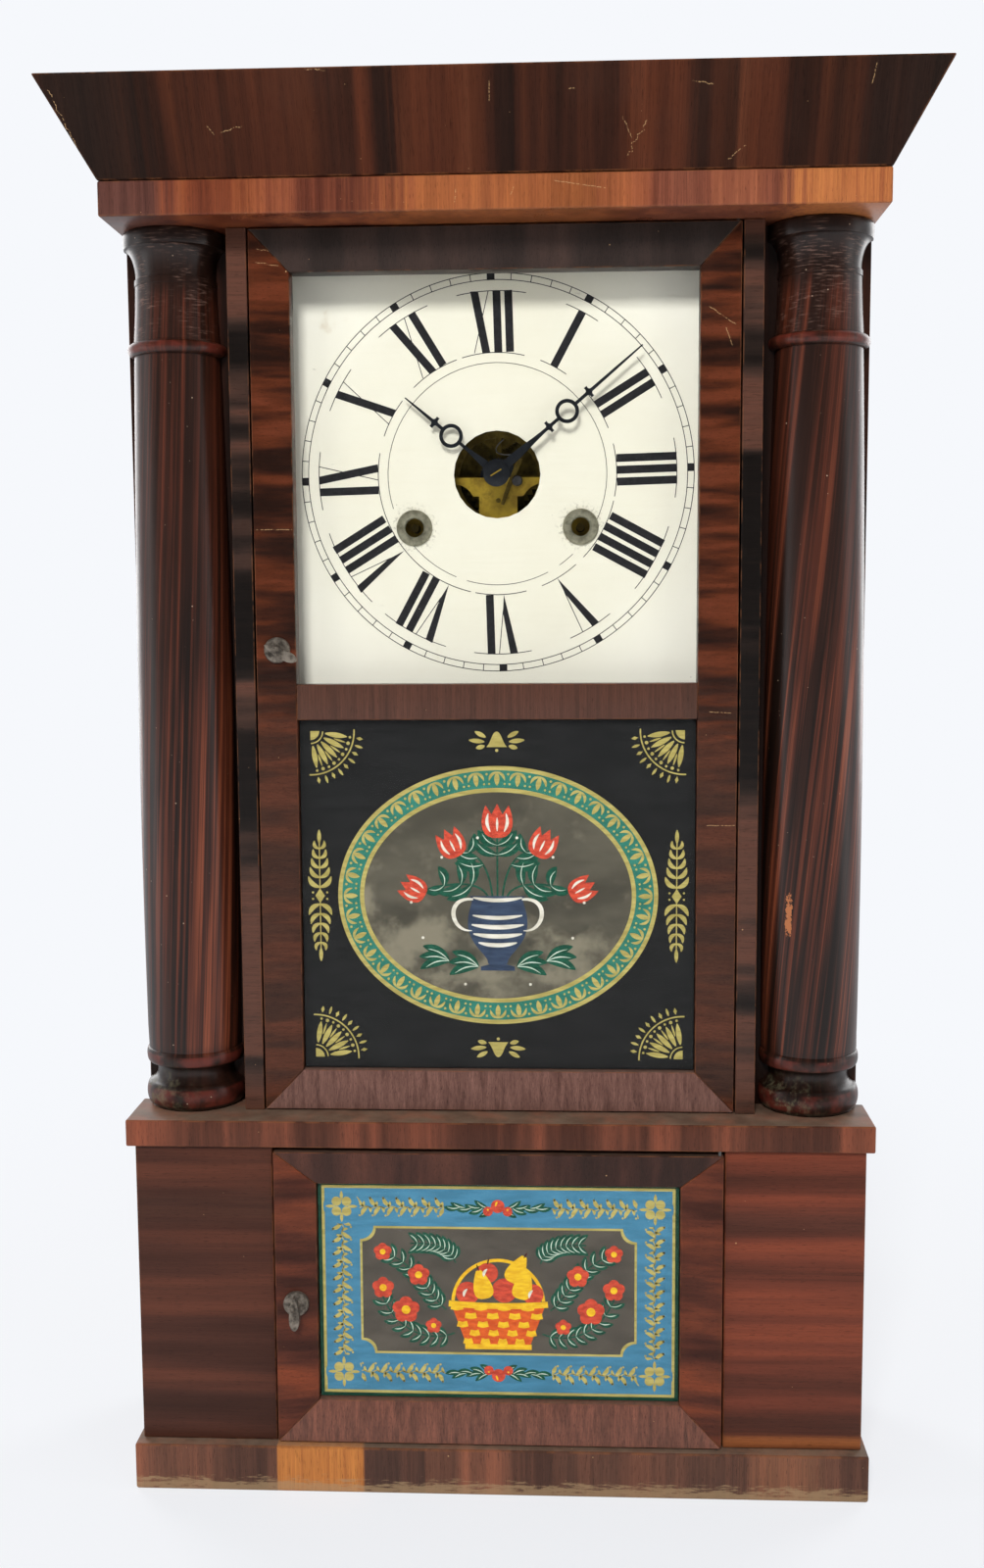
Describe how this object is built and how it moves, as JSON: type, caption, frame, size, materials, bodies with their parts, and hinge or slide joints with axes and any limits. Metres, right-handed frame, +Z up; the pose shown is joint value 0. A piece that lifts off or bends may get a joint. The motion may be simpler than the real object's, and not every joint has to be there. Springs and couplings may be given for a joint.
{
  "type": "column and cornice shelf clock",
  "caption": "Weight-driven shelf clock with half columns, a flaring cornice, two hinged glazed doors, a painted dial, hands and a striking movement.",
  "frame": {"origin": "centre of the foot of the bounding box, on the surface that the clock stands on", "axes": "+Z up, -Y the front with the dial, +X to the right as seen from the front"},
  "size_m": [0.5016, 0.1694, 0.8364],
  "materials": {
    "veneer": "polished dark red-brown veneer",
    "dark_veneer": "dark polished veneer",
    "pine": "bare aged softwood",
    "grained_paint": "gloss paint grained to look like dark wood",
    "dial_paint": "aged cream paint with black numerals",
    "brass": "aged brass",
    "steel": "dull steel",
    "dark_steel": "dark blued steel",
    "iron": "rough dark iron",
    "cord": "twisted natural fibre",
    "clear_glass": "old clear glass",
    "painted_glass": "clear glass painted on its back"
  },
  "bodies": {
    "case": {"plinth": "veneer", "bottom_board": "pine", "base_panel_left": "veneer", "base_panel_right": "veneer", "shelf": "veneer", "case_side_left": "dark_veneer", "case_side_right": "dark_veneer", "backboard": "pine", "recess_frame": "dark_veneer", "top_board": "pine", "door_post_left": "veneer", "door_post_right": "veneer", "column_left": "grained_paint", "column_right": "grained_paint", "crown_rail": "veneer", "cornice": "veneer", "upper_door_top_pin": "steel", "upper_door_foot_pin": "steel", "lower_door_top_pin": "steel", "lower_door_foot_pin": "steel", "dial_panel": "dial_paint", "time_grommet": "steel", "strike_grommet": "steel", "front_plate": "brass", "back_plate": "brass", "movement_mount": "pine", "gong_block": "iron", "gong_coil": "steel", "time_cord_lead": "cord", "strike_cord_lead": "cord", "time_cord_drop": "cord", "strike_cord_drop": "cord", "time_pulley_bracket": "steel", "strike_pulley_bracket": "steel"},
    "upper_door": {"upper_door_frame": "veneer", "dial_glass": "clear_glass", "upper_tablet": "painted_glass"},
    "upper_catch": {"upper_catch": "iron"},
    "lower_door": {"lower_door_frame": "veneer", "lower_tablet": "painted_glass"},
    "lower_catch": {"lower_catch": "iron"},
    "minute_hand": {"minute_hand": "dark_steel"},
    "hour_hand": {"hour_hand": "dark_steel"},
    "minute_wheel": {"minute_wheel": "brass"},
    "centre_arbor": {"centre_arbor": "brass"},
    "third_wheel": {"third_wheel": "brass"},
    "escape_wheel": {"escape_wheel": "brass"},
    "verge": {"verge": "steel"},
    "pendulum": {"pendulum_rod": "steel", "pendulum_bob": "brass"},
    "time_weight": {"time_weight": "iron"},
    "time_drum": {"time_drum": "brass"},
    "time_pulley": {"time_pulley": "brass"},
    "second_wheel": {"second_wheel": "brass"},
    "strike_weight": {"strike_weight": "iron"},
    "strike_drum": {"strike_drum": "brass"},
    "strike_pulley": {"strike_pulley": "brass"},
    "pin_wheel": {"pin_wheel": "brass"},
    "fly": {"fly": "brass"},
    "hammer": {"hammer": "steel"}
  },
  "joints": [
    {"name": "upper_door_hinge", "type": "hinge", "parent": "case", "child": "upper_door", "pos_m": [0.1416, -0.02545, 0.236], "axis": [0, 0, 1], "range_deg": [0, 110]},
    {"name": "upper_catch_turn", "type": "hinge", "parent": "upper_door", "child": "upper_catch", "pos_m": [-0.1315, -0.02745, 0.519], "axis": [0, 1, 0], "range_deg": [0, 90]},
    {"name": "lower_door_hinge", "type": "hinge", "parent": "case", "child": "lower_door", "pos_m": [0.1341, -0.04675, 0.0306], "axis": [0, 0, 1], "range_deg": [0, 110]},
    {"name": "lower_catch_turn", "type": "hinge", "parent": "lower_door", "child": "lower_catch", "pos_m": [-0.124, -0.04875, 0.1195], "axis": [0, 1, 0], "range_deg": [0, 90]},
    {"name": "minute_hand_turn", "type": "hinge", "parent": "case", "child": "minute_hand", "pos_m": [0, 0, 0.625], "axis": [0, 1, 0], "continuous": true},
    {"name": "hour_hand_turn", "type": "hinge", "parent": "case", "child": "hour_hand", "pos_m": [0, 0.01, 0.625], "axis": [0, 1, 0], "continuous": true},
    {"name": "minute_wheel_turn", "type": "hinge", "parent": "case", "child": "minute_wheel", "pos_m": [0, 0.025, 0.6104], "axis": [0, 1, 0], "continuous": true},
    {"name": "centre_arbor_turn", "type": "hinge", "parent": "case", "child": "centre_arbor", "pos_m": [0, 0.04, 0.625], "axis": [0, 1, 0], "continuous": true},
    {"name": "third_wheel_turn", "type": "hinge", "parent": "case", "child": "third_wheel", "pos_m": [0, 0.04, 0.6572], "axis": [0, 1, 0], "continuous": true},
    {"name": "escape_wheel_turn", "type": "hinge", "parent": "case", "child": "escape_wheel", "pos_m": [0, 0.03, 0.67524], "axis": [0, 1, 0], "continuous": true},
    {"name": "pendulum_swing", "type": "hinge", "parent": "case", "child": "pendulum", "pos_m": [0, 0.0655, 0.70294], "axis": [0, 1, 0], "range_deg": [-4, 4]},
    {"name": "verge_rock", "type": "hinge", "parent": "case", "child": "verge", "pos_m": [0, 0.04, 0.69494], "axis": [0, 1, 0], "range_deg": [-5.5, 5.5]},
    {"name": "time_weight_fall", "type": "slide", "parent": "case", "child": "time_weight", "axis": [0, 0, 1], "range_m": [-0.36, 0.08], "deforming": ["time_cord_drop"]},
    {"name": "time_drum_turn", "type": "hinge", "parent": "case", "child": "time_drum", "pos_m": [0.051, 0.03775, 0.593], "axis": [0, 1, 0], "range_deg": [-330, 1480]},
    {"name": "time_pulley_turn", "type": "hinge", "parent": "case", "child": "time_pulley", "pos_m": [0.169, 0.03775, 0.741], "axis": [0, 1, 0], "range_deg": [-385, 1722]},
    {"name": "second_wheel_turn", "type": "hinge", "parent": "case", "child": "second_wheel", "pos_m": [0.03264, 0.04, 0.63408], "axis": [0, 1, 0], "range_deg": [-10320, 2300]},
    {"name": "strike_weight_fall", "type": "slide", "parent": "case", "child": "strike_weight", "axis": [0, 0, 1], "range_m": [-0.36, 0.08], "deforming": ["strike_cord_drop"]},
    {"name": "strike_drum_turn", "type": "hinge", "parent": "case", "child": "strike_drum", "pos_m": [-0.051, 0.03775, 0.593], "axis": [0, 1, 0], "range_deg": [-1480, 330]},
    {"name": "strike_pulley_turn", "type": "hinge", "parent": "case", "child": "strike_pulley", "pos_m": [-0.169, 0.03775, 0.741], "axis": [0, 1, 0], "range_deg": [-1722, 385]},
    {"name": "pin_wheel_turn", "type": "hinge", "parent": "case", "child": "pin_wheel", "pos_m": [-0.03264, 0.04, 0.63408], "axis": [0, 1, 0], "range_deg": [-2300, 10320]},
    {"name": "fly_spin", "type": "hinge", "parent": "case", "child": "fly", "pos_m": [-0.026, 0.04, 0.668], "axis": [0, 1, 0], "continuous": true},
    {"name": "hammer_lift", "type": "hinge", "parent": "case", "child": "hammer", "pos_m": [-0.052, 0.04, 0.5495], "axis": [0, 1, 0], "range_deg": [-0.5, 5]}
  ],
  "couplings": [
    {"joint": "hour_hand_turn", "follows": "minute_hand_turn", "ratio": 0.083333},
    {"joint": "minute_wheel_turn", "follows": "minute_hand_turn", "ratio": -0.33333},
    {"joint": "third_wheel_turn", "follows": "centre_arbor_turn", "ratio": -9},
    {"joint": "verge_rock", "follows": "pendulum_swing", "ratio": 1.25},
    {"joint": "time_drum_turn", "follows": "time_weight_fall", "rad_per_m": -71.429},
    {"joint": "time_pulley_turn", "follows": "time_weight_fall", "rad_per_m": -83.333},
    {"joint": "second_wheel_turn", "follows": "time_weight_fall", "rad_per_m": 500},
    {"joint": "strike_drum_turn", "follows": "strike_weight_fall", "rad_per_m": 71.429},
    {"joint": "strike_pulley_turn", "follows": "strike_weight_fall", "rad_per_m": 83.333},
    {"joint": "pin_wheel_turn", "follows": "strike_weight_fall", "rad_per_m": -500}
  ]
}
